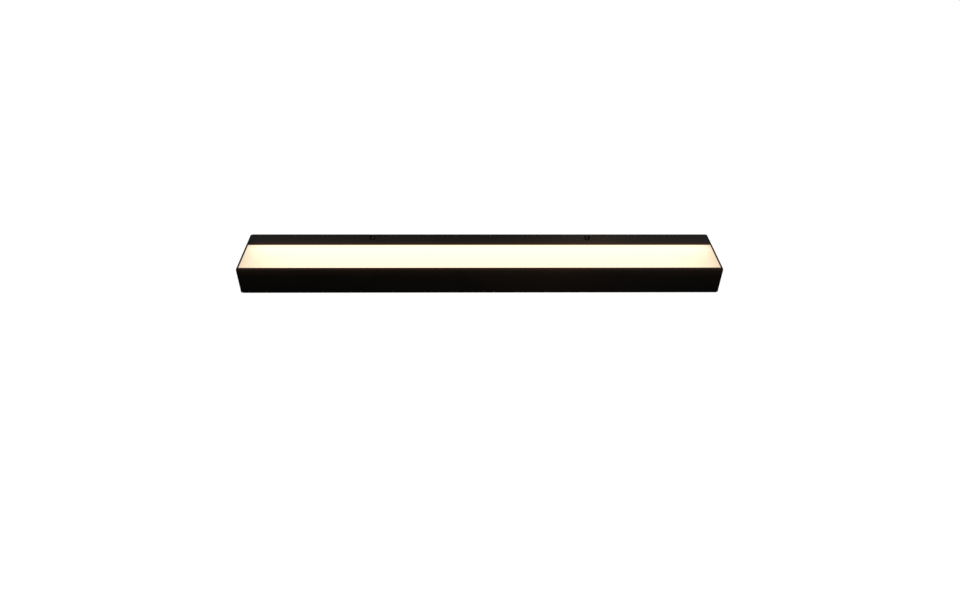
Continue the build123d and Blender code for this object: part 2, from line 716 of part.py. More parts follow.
# Terminal block: three poles one above the other, screwed to the divider's rear face. Wires
# enter at both ends and are clamped by screws that face the wall side.
block_half_height = 1.5 * POLE_PITCH
block_rear_y = divider_rear_y + BLOCK_DEPTH
block_screw_z = BLOCK_Z - POLE_PITCH / 2
pole_spots = [(clamp_y, z) for z in pole_levels]
clamp_screw_spots = [(BLOCK_X + step, z) for z in pole_levels for step in (-CLAMP_SCREW_X, CLAMP_SCREW_X)]
with BuildPart() as terminal_block:
    block(
        (BLOCK_X - BLOCK_LENGTH / 2, divider_rear_y, BLOCK_Z - block_half_height),
        (BLOCK_X + BLOCK_LENGTH / 2, block_rear_y, BLOCK_Z + block_half_height),
    )
    with BuildSketch(Plane.YZ.offset(BLOCK_X)):
        with Locations(*pole_spots):
            Rectangle(CLAMP_SIDE + CLAMP_PLAY, CLAMP_SIDE + CLAMP_PLAY)
    extrude(amount=BLOCK_LENGTH / 2, both=True, mode=Mode.SUBTRACT)
    with BuildSketch(Plane.XZ.offset(-block_rear_y)):
        with Locations(*clamp_screw_spots):
            Circle(CLAMP_SCREW_WELL)
    extrude(amount=BLOCK_DEPTH / 2, mode=Mode.SUBTRACT)
    with Locations(facing_wall(BLOCK_X, block_rear_y, block_screw_z)):
        CounterBoreHole(M3, BLOCK_SCREW_HEAD, BLOCK_DEPTH - BLOCK_SEAT, depth=BLOCK_DEPTH)
finish(terminal_block, "terminal_block")

# Terminal clamps: a brass sleeve in each pole.
with BuildPart() as terminal_clamps:
    for z in pole_levels:
        block(
            (BLOCK_X - CLAMP_LENGTH / 2, clamp_y - CLAMP_SIDE / 2, z - CLAMP_SIDE / 2),
            (BLOCK_X + CLAMP_LENGTH / 2, clamp_y + CLAMP_SIDE / 2, z + CLAMP_SIDE / 2),
        )
    with BuildSketch(Plane.YZ.offset(BLOCK_X)):
        with Locations(*pole_spots):
            Circle(CLAMP_BORE)
    extrude(amount=CLAMP_LENGTH / 2, both=True, mode=Mode.SUBTRACT)
    with BuildSketch(Plane.XZ.offset(-clamp_y)):
        with Locations(*clamp_screw_spots):
            Circle(CLAMP_SCREW)
    extrude(amount=-CLAMP_SIDE / 2, mode=Mode.SUBTRACT)
finish(terminal_clamps, "terminal_clamps")

# Terminal screws: slotted, two to each pole.
clamp_head_y = clamp_y + CLAMP_SIDE / 2 + 0.1
clamp_head_top_y = clamp_head_y + CLAMP_SCREW_HEAD_HEIGHT
with BuildPart() as terminal_screws:
    with BuildSketch(Plane.XZ.offset(-clamp_y - CLAMP_SCREW_REACH)):
        with Locations(*clamp_screw_spots):
            Circle(CLAMP_SCREW)
    extrude(amount=clamp_y + CLAMP_SCREW_REACH - clamp_head_top_y)
    with BuildSketch(Plane.XZ.offset(-clamp_head_y)):
        with Locations(*clamp_screw_spots):
            Circle(CLAMP_SCREW_HEAD)
    extrude(amount=-CLAMP_SCREW_HEAD_HEIGHT)
    with BuildSketch(Plane.XZ.offset(-clamp_head_top_y)):
        with Locations(*clamp_screw_spots):
            Rectangle(SCREW_SLOT[0], SCREW_SLOT[1])
    extrude(amount=SCREW_SLOT[2], mode=Mode.SUBTRACT)
finish(terminal_screws, "terminal_screws")

# Terminal fixing screw: holds the block on the divider, its head down in the block.
block_screw = pan_screw(
    M3, BLOCK_SEAT + DIVIDER - SCREW_SHORT, BLOCK_SCREW_HEAD, BLOCK_SCREW_HEAD_HEIGHT, BLOCK_SCREW_RECESS
)
with BuildPart() as terminal_fixing_screw:
    with Locations(facing_wall(BLOCK_X, divider_rear_y + BLOCK_SEAT, block_screw_z)):
        add(block_screw)
finish(terminal_fixing_screw, "terminal_fixing_screw")

# Earth point: a toothed washer on the divider, the lead's ring on it, and the screw on top.
washer_top_y = divider_rear_y + EARTH_SHEET
ring_top_y = washer_top_y + EARTH_SHEET
with BuildPart() as earth_washer:
    with BuildSketch(rear_face):
        with Locations((EARTH_X, EARTH_Z)):
            Circle(WASHER_RADIUS)
            with PolarLocations(WASHER_RADIUS + TOOTH[1] / 2, WASHER_TEETH):
                Rectangle(*TOOTH)
            Circle(M4_CLEARANCE, mode=Mode.SUBTRACT)
    extrude(amount=-EARTH_SHEET)
finish(earth_washer, "earth_washer")

barrel_end_x = EARTH_X - BARREL_START - BARREL_LENGTH
barrel_centre = (washer_top_y + 0.6, EARTH_Z)
with BuildPart() as earth_ring:
    with BuildSketch(Plane.XZ.offset(-washer_top_y)):
        with Locations((EARTH_X, EARTH_Z)):
            Circle(RING_RADIUS)
        span((EARTH_X - RING_NECK[0], EARTH_Z - RING_NECK[1] / 2), (EARTH_X, EARTH_Z + RING_NECK[1] / 2))
        with Locations((EARTH_X, EARTH_Z)):
            Circle(M4_CLEARANCE, mode=Mode.SUBTRACT)
    extrude(amount=-EARTH_SHEET)
    with BuildSketch(Plane.YZ.offset(EARTH_X - BARREL_START)):
        with Locations(barrel_centre):
            Circle(BARREL_RADIUS)
    extrude(amount=-BARREL_LENGTH)
    with BuildSketch(Plane.YZ.offset(barrel_end_x)):
        with Locations(barrel_centre):
            Circle(LEAD_RADIUS + 0.05)
    extrude(amount=BARREL_DEPTH, mode=Mode.SUBTRACT)
finish(earth_ring, "earth_ring")

earth_bolt = pan_screw(M4, EARTH_SHEET * 2 + DIVIDER - SCREW_SHORT, M4_HEAD, M4_HEAD_HEIGHT, M4_RECESS)
with BuildPart() as earth_screw:
    with Locations(facing_wall(EARTH_X, ring_top_y, EARTH_Z)):
        add(earth_bolt)
finish(earth_screw, "earth_screw")

# Leads: each runs from the driver's end, inside the rear compartment. The LED leads pass over
# the terminal block and through the grommet to the supply connector.
lead_end_x = DRIVER_START + 3.0
clamp_stop_x = BLOCK_X + 2.5
live_wire = lead(
    [
        (lead_end_x, *live_hole),
        (132, *live_hole),
        (112, *pole_spots[0]),
        (clamp_stop_x, *pole_spots[0]),
    ],
    [20, 20],
)
finish(live_wire, "live_wire")

neutral_wire = lead(
    [
        (lead_end_x, *neutral_hole),
        (134, *neutral_hole),
        (112, *pole_spots[2]),
        (clamp_stop_x, *pole_spots[2]),
    ],
    [20, 20],
)
finish(neutral_wire, "neutral_wire")

earth_wire = lead(
    [
        (barrel_end_x + BARREL_DEPTH - 1.0, *barrel_centre),
        (102, *barrel_centre),
        (88, *pole_spots[1]),
        (clamp_stop_x, *pole_spots[1]),
    ],
    [8, 12],
)
finish(earth_wire, "earth_wire")


def led_lead(start, bridge_z, grommet_z, connector_x):
    """A lead from the driver over the terminal block, through the grommet, to the connector."""
    chamber_y = board_front_y - SUPPLY_CONNECTOR_DEPTH / 2
    return lead(
        [
            (lead_end_x, *start),
            (148, *start),
            (126, led_lead_y, bridge_z),
            (34, led_lead_y, bridge_z),
            (0, led_lead_y, grommet_z),
            (0, chamber_y, grommet_z),
            (connector_x, chamber_y, grommet_z),
            (connector_x, chamber_y, connector_high_z),
        ],
        [16, 16, 16, 4.5, 3.5, 2.0],
    )


led_wire_positive = led_lead(led_plus_hole, 10.6, GROMMET_Z - LEAD_PITCH / 2, 11.5)
finish(led_wire_positive, "led_wire_positive")

led_wire_negative = led_lead(led_minus_hole, 12.6, GROMMET_Z + LEAD_PITCH / 2, 16.5)
finish(led_wire_negative, "led_wire_negative")

# Rear covers: thin plates that close the compartment beside the bracket. A folded flange tucks
# under the strip, and the lower edge is screwed to the grooved rib.
cover_start = BRACKET_LENGTH / 2 + COVER_GAP
cover_end = housing_half - COVER_GAP / 2
cover_low_z = floor_z + SIDE_PLAY
cover_top_z = ceiling_z - SIDE_PLAY
with BuildPart() as rear_cover_right:
    with BuildSketch(Plane.YZ.offset(cover_start)) as cover_section:
        with BuildLine():
            Polyline(
                (0, cover_low_z),
                (0, cover_top_z),
                (-COVER_FLANGE, cover_top_z),
                (-COVER_FLANGE, cover_top_z - BRACKET_SHEET),
                (-BRACKET_SHEET, cover_top_z - BRACKET_SHEET),
                (-BRACKET_SHEET, cover_low_z),
                close=True,
            )
        make_face()
        cover_corners = cover_section.vertices().group_by(Axis.Y)
        fillet(cover_corners[-1].sort_by(Axis.X)[-1], BRACKET_SHEET + FOLD_RADIUS)
        fillet(cover_corners[-2].sort_by(Axis.X)[-1], FOLD_RADIUS)
    extrude(amount=cover_end - cover_start)
    with Locations(*[facing_wall(x, 0, groove_z) for x in COVER_SCREW_X]):
        CounterSinkHole(COVER_SCREW_CLEARANCE, COVER_SCREW_HEAD, depth=BRACKET_SHEET, counter_sink_angle=90)
finish(rear_cover_right, "rear_cover_right")

with BuildPart() as rear_cover_left:
    mirror(rear_cover_right.part, about=Plane.YZ)
finish(rear_cover_left, "rear_cover_left")

# Rear cover screws: countersunk, three to each cover, flush with the wall side.
cover_screw = countersunk_screw(RIB_GROOVE / 2, COVER_SCREW_LENGTH, COVER_SCREW_HEAD, COVER_SCREW_RECESS)
cover_screw_spots = [side * x for side in (-1, 1) for x in COVER_SCREW_X]
with BuildPart() as rear_cover_screws:
    with Locations(*[facing_wall(x, 0, groove_z) for x in cover_screw_spots]):
        add(cover_screw)
finish(rear_cover_screws, "rear_cover_screws")
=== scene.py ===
import math
from typing import NamedTuple

import bmesh
import bpy
import numpy as np
from bpy.props import FloatProperty, FloatVectorProperty, PointerProperty
from mathutils import Matrix, Vector


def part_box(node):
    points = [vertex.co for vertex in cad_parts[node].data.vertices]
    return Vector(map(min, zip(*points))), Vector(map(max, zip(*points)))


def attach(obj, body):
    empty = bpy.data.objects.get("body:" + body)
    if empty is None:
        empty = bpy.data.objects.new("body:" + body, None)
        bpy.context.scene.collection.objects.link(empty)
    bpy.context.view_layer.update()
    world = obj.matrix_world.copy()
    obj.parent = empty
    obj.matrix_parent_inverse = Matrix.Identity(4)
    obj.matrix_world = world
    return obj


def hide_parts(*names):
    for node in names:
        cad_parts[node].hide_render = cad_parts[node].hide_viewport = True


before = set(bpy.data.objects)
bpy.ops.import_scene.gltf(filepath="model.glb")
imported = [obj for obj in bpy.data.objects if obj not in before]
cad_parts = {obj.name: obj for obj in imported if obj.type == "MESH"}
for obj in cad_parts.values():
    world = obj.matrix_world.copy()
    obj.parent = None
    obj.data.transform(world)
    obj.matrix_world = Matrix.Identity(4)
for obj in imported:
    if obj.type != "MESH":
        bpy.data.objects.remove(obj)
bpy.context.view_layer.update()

bl_info = {
    "name": "Light Bar Finishes",
    "version": (1, 0, 0),
    "blender": (4, 5, 0),
    "location": "3D View > Sidebar > Light Bar",
    "description": "Finishes, detailed screws, lamp chips and a studio for a wall-mounted light bar",
    "category": "Object",
}

MM = 0.001
PANEL_LOW, PANEL_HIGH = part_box("diffuser")
BODY_LOW, BODY_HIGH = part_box("housing")
BAR_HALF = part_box("end_plate_right")[1].x

# Sizes that the finishes and the new pieces share with the solid parts, in millimetres.
FRONT_TONGUE = 1.3  # front edge of the panel to the start of its open face
REAR_TONGUE = 1.2  # rear edge of the panel to the start of its open face
END_COVER = 2.0  # end plate and gasket together
FIRST_CHIP = 7.5  # middle of the bar to the first lamp chip on each side
CHIP_PITCH = 12.0
CHIPS_PER_SIDE = 24
CHIP_HALF_WIDTH = 1.75
CHIP_HALF_HEIGHT = 1.4
BOARD_SCREW_X = (13.5, 145.5, 277.5)
COVER_SCREW_X = (162.0, 224.0)  # the outermost pair follows from the node's own box


class ScrewSize(NamedTuple):
    """A screw's sizes in millimetres: radii of the head and the thread, the thread's pitch, the
    reach and depth of the cross recess, and the head's height where the seat comes from it."""

    head: float
    thread: float
    pitch: float
    recess: tuple
    height: float = 0.0


STRIP_SCREW = ScrewSize(head=4.0, thread=2.0, pitch=0.7, recess=(2.1, 1.5))
END_SCREW = ScrewSize(head=2.75, thread=1.4, pitch=1.1, recess=(1.5, 1.1))
COVER_SCREW = ScrewSize(head=2.35, thread=1.1, pitch=0.8, recess=(1.25, 0.9))
BOARD_SCREW = ScrewSize(head=2.8, thread=1.5, pitch=0.5, recess=(1.5, 1.1), height=1.98)
EARTH_SCREW = ScrewSize(head=4.0, thread=2.0, pitch=0.5, recess=(2.08, 1.4135), height=2.57)
TERMINAL_SCREW = ScrewSize(head=1.9, thread=1.5, pitch=0.5, recess=(0.988, 0.869), height=1.58)


# ---------------------------------------------------------------- settings


class BodySettings(bpy.types.PropertyGroup):
    """The black paint on the body."""

    colour: FloatVectorProperty(
        name="Paint", description="Colour of the powder coat", subtype="COLOR", size=3,
        default=(0.0125, 0.0108, 0.0098), min=0.0, max=1.0,
    )
    roughness: FloatProperty(
        name="Roughness", description="How matt the paint is", default=0.56, min=0.0, max=1.0,
        subtype="FACTOR",
    )
    grain: FloatProperty(
        name="Grain", description="Size of the paint's fine texture", default=0.00022, unit="LENGTH",
    )


class LampSettings(bpy.types.PropertyGroup):
    """The light that the panel gives."""

    colour: FloatVectorProperty(
        name="Light", description="Colour of the lit panel", subtype="COLOR", size=3,
        default=(1.0, 0.81, 0.58), min=0.0, max=1.0,
    )
    strength: FloatProperty(
        name="Strength", description="Brightness of the lit panel", default=1.6, min=0.0,
    )


class StudioSettings(bpy.types.PropertyGroup):
    """The camera, the floor and the lights."""

    camera_place: FloatVectorProperty(
        name="Camera", description="Where the camera stands", subtype="TRANSLATION", unit="LENGTH",
        default=(-0.01549, -0.81725, 0.53906), size=3,
    )
    camera_pitch: FloatProperty(
        name="Pitch", description="How far the camera looks down", subtype="ANGLE",
        default=math.radians(37.636),
    )
    camera_yaw: FloatProperty(
        name="Yaw", description="How far the camera is turned", subtype="ANGLE",
        default=math.radians(1.155),
    )
    camera_roll: FloatProperty(
        name="Roll", description="How far the camera is tilted", subtype="ANGLE",
        default=math.radians(0.624),
    )
    lens: FloatProperty(name="Lens", description="Focal length on a 36 mm sensor", default=27.521)
    floor_drop: FloatProperty(
        name="Floor drop", description="How far the floor lies under the bar", default=0.55,
        unit="LENGTH",
    )
    floor_tone: FloatProperty(
        name="Floor tone", description="Brightness of the floor and the backdrop", default=1.0,
    )


# ---------------------------------------------------------------- shader nodes


class Wire:
    """A value in a material. Arithmetic on it adds Math nodes, whichever side it stands on."""

    def __init__(self, finish, socket):
        self.finish = finish
        self.socket = socket

    def math(self, operation, *values):
        """Add a Math node."""
        return self.finish.node("ShaderNodeMath", {"operation": operation}, values)

    def __add__(self, other):
        return self.math("ADD", self, other)

    def __sub__(self, other):
        return self.math("SUBTRACT", self, other)

    def __rsub__(self, other):
        return self.math("SUBTRACT", other, self)

    def __mul__(self, other):
        return self.math("MULTIPLY", self, other)

    def __truediv__(self, other):
        return self.math("DIVIDE", self, other)

    def __rtruediv__(self, other):
        return self.math("DIVIDE", other, self)

    def __pow__(self, other):
        return self.math("POWER", self, other)

    def __abs__(self):
        return self.math("ABSOLUTE", self)

    __radd__ = __add__
    __rmul__ = __mul__

    def fraction(self):
        """What is left after the last whole number."""
        return self.math("FRACT", self)

    def exp(self):
        """The base of natural logarithms to the power of the value."""
        return self.math("EXPONENT", self)

    def above(self, least):
        """The value, but never less than least."""
        return self.math("MAXIMUM", self, least)

    def below(self, most):
        """The value, but never more than most."""
        return self.math("MINIMUM", self, most)

    def step(self, low, high):
        """0 below low, 1 above high, and a smooth rise between them."""
        return self.finish.node(
            "ShaderNodeMapRange",
            {"interpolation_type": "SMOOTHSTEP"},
            {"Value": self, "From Min": low, "From Max": high},
        )


class Finish:
    """The nodes of one material, on Object coordinates in millimetres."""

    def __init__(self, name):
        self.material = bpy.data.materials.new(name)
        self.material.use_nodes = True
        self.tree = self.material.node_tree
        self.tree.nodes.clear()
        self.shader = self.tree.nodes.new("ShaderNodeBsdfPrincipled")
        output = self.tree.nodes.new("ShaderNodeOutputMaterial")
        self.tree.links.new(self.shader.outputs["BSDF"], output.inputs["Surface"])
        place = self.node("ShaderNodeTexCoord", output="Object")
        self.place = self.node("ShaderNodeMapping", {}, {"Vector": place, "Scale": (1000.0,) * 3})
        self.x, self.y, self.z = [
            self.node("ShaderNodeSeparateXYZ", {}, {"Vector": self.place}, axis) for axis in "XYZ"
        ]

    def feed(self, socket, value):
        """Link a value to a socket, or set the socket to a number or a colour."""
        if isinstance(value, Wire):
            self.tree.links.new(value.socket, socket)
        else:
            socket.default_value = value

    def node(self, kind, settings=None, values=(), output=0):
        """Add a node: its settings first, then the values or links of its sockets."""
        node = self.tree.nodes.new(kind)
        for key, value in (settings or {}).items():
            setattr(node, key, value)
        pairs = values.items() if isinstance(values, dict) else enumerate(values)
        for key, value in pairs:
            self.feed(node.inputs[key], value)
        return Wire(self, node.outputs[output])

    def mix(self, factor, low, high):
        """A colour between low and high."""
        low, high = (c if isinstance(c, Wire) else (*c, 1.0) for c in (low, high))
        return self.node("ShaderNodeMix", {"data_type": "RGBA"}, {0: factor, 6: low, 7: high}, 2)

    def scaled(self, colour, factor):
        """A colour times a value."""
        return self.node("ShaderNodeVectorMath", {"operation": "SCALE"}, {0: colour, 3: factor})

    def noise(self, size, detail=2.0, roughness=0.5, stretch=(1.0, 1.0, 1.0)):
        """Noise with features of a size in millimetres, which stretch makes longer on an axis."""
        scale = [1.0 / (size * s) for s in stretch]
        place = self.node("ShaderNodeMapping", {}, {"Vector": self.place, "Scale": scale})
        values = {"Vector": place, "Scale": 1.0, "Detail": detail, "Roughness": roughness}
        return self.node("ShaderNodeTexNoise", {}, values)

    def cells(self, size, feature="F1"):
        """Distance inside Voronoi cells of a size in millimetres."""
        place = self.node("ShaderNodeMapping", {}, {"Vector": self.place, "Scale": (1.0 / size,) * 3})
        values = {"Vector": place, "Scale": 1.0}
        return self.node("ShaderNodeTexVoronoi", {"feature": feature}, values, "Distance")

    def bump(self, height, depth, strength):
        """A normal from a height of 0 to 1, whose full depth is in millimetres."""
        values = {"Strength": strength, "Distance": depth * MM, "Height": height}
        return self.node("ShaderNodeBump", {}, values, "Normal")

    def surface(self, **values):
        """Set or link the shader's sockets, named in lower case with underscores."""
        for key, value in values.items():
            name = key.replace("_", " ").title().replace("Ior", "IOR")
            if isinstance(value, tuple) and len(value) == 3:
                value = (*value, 1.0)
            self.feed(self.shader.inputs[name], value)
        return self.material


def tint(colour, factor):
    """A colour times a number, as a tuple."""
    return tuple(min(1.0, c * factor) for c in colour)


# ---------------------------------------------------------------- finishes


def powder_coat(settings):
    """Fine-texture black powder coat: sandy grain on a soft orange peel."""
    f = Finish("black_powder_coat")
    grain = settings.grain / MM
    sand = f.noise(grain, 3.0, 0.6)
    peel = f.noise(grain * 6, 1.0)
    cloud = f.noise(38.0, 2.0)
    colour = tuple(settings.colour)
    return f.surface(
        base_color=f.mix(cloud.step(0.3, 0.7), tint(colour, 0.86), tint(colour, 1.14)),
        roughness=settings.roughness + (sand - 0.5) * 0.16 + (cloud - 0.5) * 0.08,
        normal=f.bump(sand * 0.7 + peel * 0.5, 0.035, 0.6),
        specular_ior_level=0.42,
    )


def opal_panel(settings):
    """Lit opal panel. A ridge of light runs along it just ahead of the lamps, steep on their
    side and long towards the front: the exponential of minus the squared distance. Towards
    each end the light falls off exponentially, because the last lamp stands short of the end
    plate, and it does so over a longer reach further from the lamps. The rims under the metal
    carry painted shade: their glow is dim and deep in colour."""
    f = Finish("opal_panel")
    front_edge = PANEL_LOW.y / MM + FRONT_TONGUE
    rear_edge = PANEL_HIGH.y / MM - REAR_TONGUE
    bright_line = rear_edge - 10.0
    spread_ahead, spread_behind = -480.0, -48.0
    ahead = (bright_line - f.y).above(0.0)
    behind = (f.y - bright_line).above(0.0)
    ridge = (ahead * ahead / spread_ahead + behind * behind / spread_behind).exp()
    from_end = BAR_HALF / MM - abs(f.x)
    depth = (ahead / 32.0).below(1.0)
    reach = depth * 18.0 + 9.0
    end_loss = (from_end / reach * -1.0).exp() * (0.5 - depth * 0.1)
    milk = f.noise(9.0, 2.0)
    base, ridge_gain, peak = 1.12, 0.165, 1.19
    level = (ridge * ridge_gain + base) * (1.0 - end_loss) * (0.994 + milk * 0.012)
    tone = tuple(c * peak / settings.strength for c in settings.colour)
    # Painted shade: the rims under the rear and front lips glow dimmer and deeper in colour.
    rear_rim_shade = tuple(c * part for c, part in zip(tone, (0.78, 0.5, 0.4)))
    front_and_end_rim_shade = tuple(c * part for c, part in zip(tone, (0.16, 0.07, 0.03)))
    colour = f.mix((rear_edge - f.y).step(0.0, 1.1), rear_rim_shade, tone)
    colour = f.mix((f.y - front_edge).step(0.4, 1.2), front_and_end_rim_shade, colour)
    # Painted shade at the ends too, under the end plates and gaskets.
    colour = f.mix((from_end - END_COVER).step(0.0, 0.8), front_and_end_rim_shade, colour)
    return f.surface(
        base_color=(0.32, 0.31, 0.29),
        roughness=0.34 + f.noise(0.6, 2.0) * 0.1,
        normal=f.bump(f.noise(0.5, 2.0), 0.004, 0.4),
        emission_color=f.scaled(colour, level),
        emission_strength=settings.strength,
        ior=1.49,
    )


def moulded(name, colour, roughness, grain=0.3, depth=0.012):
    """Moulded plastic with a fine spark-eroded texture and a slight unevenness of colour."""
    f = Finish(name)
    texture = f.noise(grain, 2.0, 0.6)
    cloud = f.noise(14.0, 2.0)
    return f.surface(
        base_color=f.mix(cloud, tint(colour, 0.94), tint(colour, 1.06)),
        roughness=roughness + (texture - 0.5) * 0.12,
        normal=f.bump(texture, depth, 0.6),
    )


def soft_rubber(name, colour):
    """Rubber with a dusty bloom."""
    f = Finish(name)
    dust = f.noise(2.6, 4.0, 0.7).step(0.45, 0.75)
    skin = f.noise(0.25, 2.0)
    return f.surface(
        base_color=f.mix(dust, colour, tint(colour, 1.7)),
        roughness=0.72 + dust * 0.14,
        normal=f.bump(skin, 0.02, 0.5),
        specular_ior_level=0.3,
    )


def plated_steel(name, colour, roughness=0.3, stretch=(14.0, 14.0, 1.0)):
    """Plated steel sheet: rolling lines along the sheet under a mottled passivation."""
    f = Finish(name)
    lines = f.noise(0.16, 3.0, 0.65, stretch)
    mottle = f.noise(5.5, 3.0, 0.6)
    tarnish = f.noise(1.4, 4.0, 0.7).step(0.55, 0.8)
    warm = (colour[0] * 0.98, colour[1] * 0.94, colour[2] * 0.82)
    base = f.mix(mottle.step(0.35, 0.65), tint(colour, 0.9), tint(colour, 1.06))
    return f.surface(
        base_color=f.mix(tarnish * 0.25, base, warm),
        metallic=1.0,
        roughness=roughness + (lines - 0.5) * 0.22 + mottle * 0.08,
        normal=f.bump(lines, 0.006, 0.5),
    )


def black_zinc():
    """Black zinc on screws: dark, satin, with the plating thin on the highest edges."""
    f = Finish("black_zinc")
    speck = f.noise(0.5, 4.0, 0.7)
    thin = f.noise(1.3, 3.0).step(0.56, 0.72)
    return f.surface(
        base_color=f.mix(thin * 0.35, (0.052, 0.050, 0.049), (0.16, 0.155, 0.15)),
        metallic=0.75,
        roughness=0.34 + (speck - 0.5) * 0.18,
        normal=f.bump(speck, 0.006, 0.5),
    )


def white_reflector():
    """White pre-painted reflector sheet with a faint roller texture."""
    f = Finish("white_reflector")
    roller = f.noise(0.7, 2.0, 0.5, (3.0, 1.0, 1.0))
    cloud = f.noise(30.0)
    return f.surface(
        base_color=f.mix(cloud, (0.84, 0.84, 0.82), (0.9, 0.9, 0.885)),
        roughness=0.48 + (roller - 0.5) * 0.12,
        normal=f.bump(roller, 0.01, 0.5),
    )


def lamp_board():
    """White solder mask over copper: two supply tracks stand proud along the board, and a land
    stands proud under each lamp chip."""
    f = Finish("lamp_board")
    low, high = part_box("led_board_right")
    centre = (low.z + high.z) / 2 / MM
    off = abs(f.z - centre)
    tracks = off.step(3.9, 4.1) * (1.0 - off.step(5.3, 5.5))
    along = abs(f.x) - FIRST_CHIP
    pad = abs((along / CHIP_PITCH + 0.5).fraction() - 0.5)
    lands = (1.0 - pad.step(0.19, 0.2)) * (1.0 - off.step(1.9, 2.0))
    copper = tracks.above(lands)
    mask = f.noise(0.3, 2.0)
    return f.surface(
        base_color=f.mix(copper, (0.86, 0.86, 0.84), (0.8, 0.79, 0.75)),
        roughness=0.3 + mask * 0.12,
        normal=f.bump(copper + mask * 0.1, 0.035, 0.7),
    )


def lamp_chip(settings):
    """Lamp chip: a white cup round a disc of lit yellow phosphor."""
    f = Finish("lamp_chip")
    centre = (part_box("led_chips")[0].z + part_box("led_chips")[1].z) / 2 / MM
    along = ((abs(f.x) - FIRST_CHIP) / CHIP_PITCH + 0.5).fraction() * CHIP_PITCH - CHIP_PITCH / 2
    across = f.z - centre
    reach = (along * along + across * across) ** 0.5
    disc = 1.0 - reach.step(1.0, 1.12)
    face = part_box("led_chips")[0].y / MM
    front = 1.0 - (f.y - face).step(0.35, 0.4)
    glow = disc * front
    grit = f.noise(0.12, 2.0)
    lit = tuple(c * 0.9 for c in settings.colour)
    return f.surface(
        base_color=f.mix(glow, (0.85, 0.85, 0.82), (0.9, 0.62, 0.12)),
        roughness=0.3 + grit * 0.2,
        normal=f.bump(grit, 0.01, 0.4),
        emission_color=f.mix(glow, (0.0, 0.0, 0.0), lit),
        emission_strength=3.0,
    )


def circuit_board():
    """Green solder mask with a web of tracks under it and tinned pads in rows."""
    f = Finish("circuit_board")
    web = f.cells(3.4, "DISTANCE_TO_EDGE")
    track = 1.0 - web.step(0.05, 0.09)
    dots = f.cells(2.54)
    pad = (1.0 - dots.step(0.16, 0.2)) * f.noise(11.0).step(0.5, 0.52)
    green = f.mix(track, (0.012, 0.105, 0.045), (0.022, 0.17, 0.07))
    return f.surface(
        base_color=f.mix(pad, green, (0.62, 0.62, 0.6)),
        metallic=pad * 0.9,
        roughness=0.26 + f.noise(0.4) * 0.12,
        normal=f.bump(track + pad, 0.03, 0.6),
    )


def wound_core():
    """Sintered ferrite round a bobbin under turns of amber tape."""
    f = Finish("wound_core")
    low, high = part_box("driver_transformer")
    centre = (low.x + high.x) / 2 / MM
    coil = (1.0 - abs(f.x - centre).step(4.9, 4.95)) * abs(f.z).step(3.0, 3.04)
    turns = (f.y / 0.8).fraction()
    grit = f.noise(0.22, 3.0, 0.7)
    ferrite = f.mix(grit, (0.03, 0.03, 0.032), (0.055, 0.053, 0.05))
    return f.surface(
        base_color=f.mix(coil, ferrite, (0.72, 0.42, 0.05)),
        roughness=0.62 - coil * 0.34,
        normal=f.bump(grit * 0.4 + coil * turns, 0.05, 0.6),
    )


def can_sleeve():
    """Shrunk capacitor sleeve with a pale stripe, and a bare top with a scored cross."""
    f = Finish("can_sleeve")
    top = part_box("driver_capacitors")[1].y / MM
    crown = (f.y - top).step(-0.75, -0.65)
    stripe = f.z.step(2.4, 2.6) * (1.0 - crown)
    grain = f.noise(0.3)
    body = f.mix(stripe, (0.012, 0.014, 0.035), (0.6, 0.6, 0.58))
    return f.surface(
        base_color=f.mix(crown, body, (0.72, 0.72, 0.73)),
        metallic=crown,
        roughness=0.32 + grain * 0.1,
        normal=f.bump(grain, 0.01, 0.4),
    )


def brass_clamp():
    """Turned brass with tool lines and brown spots."""
    f = Finish("brass_clamp")
    lines = f.noise(0.12, 3.0, 0.6, (10.0, 1.0, 1.0))
    spots = f.noise(1.6, 4.0, 0.7).step(0.58, 0.8)
    return f.surface(
        base_color=f.mix(spots * 0.5, (0.72, 0.53, 0.24), (0.36, 0.22, 0.09)),
        metallic=1.0,
        roughness=0.26 + lines * 0.18 + spots * 0.1,
        normal=f.bump(lines, 0.008, 0.5),
    )


def lead_insulation(name, colour, stripe=None):
    """Lead insulation, smooth with faint extrusion lines, and a stripe where it has one."""
    f = Finish(name)
    lines = f.noise(0.18, 2.0, 0.5, (30.0, 1.0, 1.0))
    base = f.mix(f.noise(6.0), tint(colour, 0.92), tint(colour, 1.08))
    if stripe:
        turn = ((f.y + f.z) / 1.1 + f.x / 9.0).fraction().step(0.48, 0.52)
        base = f.mix(turn, base, stripe)
    return f.surface(
        base_color=base,
        roughness=0.36 + (lines - 0.5) * 0.14,
        normal=f.bump(lines, 0.01, 0.4),
    )


def mill_aluminium():
    """Mill-finish aluminium: long rolling lines, a few scuffs and a soft grey bloom."""
    f = Finish("mill_aluminium")
    lines = f.noise(0.14, 3.0, 0.65, (40.0, 1.0, 1.0))
    bloom = f.noise(16.0, 3.0)
    scuff = f.noise(1.0, 2.0, 0.5, (1.0, 1.0, 12.0)).step(0.68, 0.74)
    return f.surface(
        base_color=f.mix(bloom, (0.56, 0.57, 0.58), (0.68, 0.69, 0.7)),
        metallic=1.0,
        roughness=0.33 + (lines - 0.5) * 0.2 + bloom * 0.08 + scuff * 0.1,
        normal=f.bump(lines + scuff * 0.4, 0.007, 0.5),
    )


# ---------------------------------------------------------------- surfaces

SHARP_ANGLE = math.radians(38)
TURN_STEPS = 72  # points round a screw
HEAD_STEPS = 54  # points from the middle of a screw's head to its thread
ROWS_PER_PITCH = 6
THREAD_DEPTH = 0.17  # as a part of the thread's radius
CHIP_STEPS = 24  # points round a lamp chip


